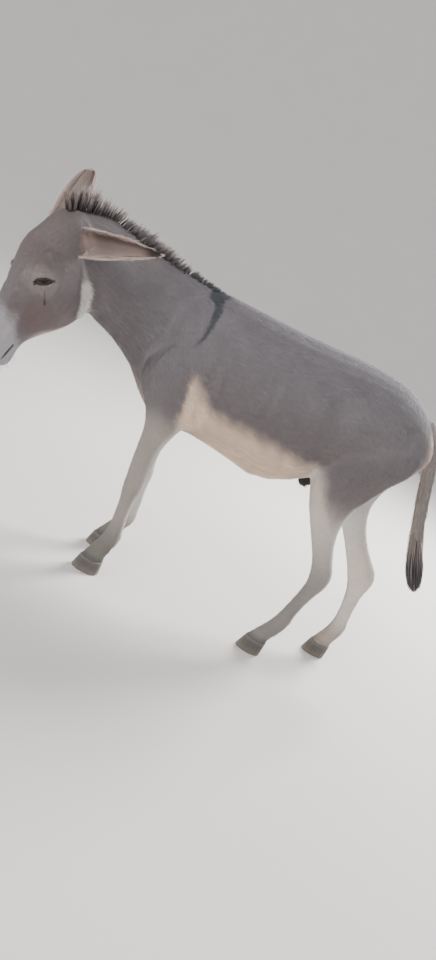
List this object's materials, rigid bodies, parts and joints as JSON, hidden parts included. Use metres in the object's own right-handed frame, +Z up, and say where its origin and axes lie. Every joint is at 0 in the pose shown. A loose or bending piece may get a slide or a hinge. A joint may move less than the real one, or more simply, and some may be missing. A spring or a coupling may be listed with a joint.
{
  "type": "donkey",
  "caption": "Life-size standing donkey, a still model: level neck, hanging head turned left, one ear back and one upright, short upright mane, tufted tail, four flat soles.",
  "frame": {"origin": "on the floor, under the middle of the animal's bounding box", "axes": "+Z up, -X the way the body faces, -Y its left side"},
  "size_m": [1.6746, 0.5728, 1.2192],
  "materials": {
    "grey_coat": "short grey-dun hair lying flat",
    "pale_coat": "short pale grey hair lying flat",
    "dark_hair": "coarse dark hair",
    "hoof_horn": "dusty dark horn",
    "eye": "wet dark brown"
  },
  "bodies": {
    "root": {"ear_left": "grey_coat", "ear_right": "grey_coat", "eye_left": "eye", "eye_right": "eye", "fore_cannon_left": "pale_coat", "fore_cannon_right": "pale_coat", "fore_forearm_left": "pale_coat", "fore_forearm_right": "pale_coat", "fore_hoof_left": "hoof_horn", "fore_hoof_right": "hoof_horn", "fore_pastern_left": "pale_coat", "fore_pastern_right": "pale_coat", "head": "grey_coat", "hind_cannon_left": "pale_coat", "hind_cannon_right": "pale_coat", "hind_gaskin_left": "pale_coat", "hind_gaskin_right": "pale_coat", "hind_hoof_left": "hoof_horn", "hind_hoof_right": "hoof_horn", "hind_pastern_left": "pale_coat", "hind_pastern_right": "pale_coat", "mane": "dark_hair", "neck": "grey_coat", "sheath": "dark_hair", "tail": "grey_coat", "tail_tuft": "dark_hair", "trunk": "grey_coat"}
  },
  "joints": []
}
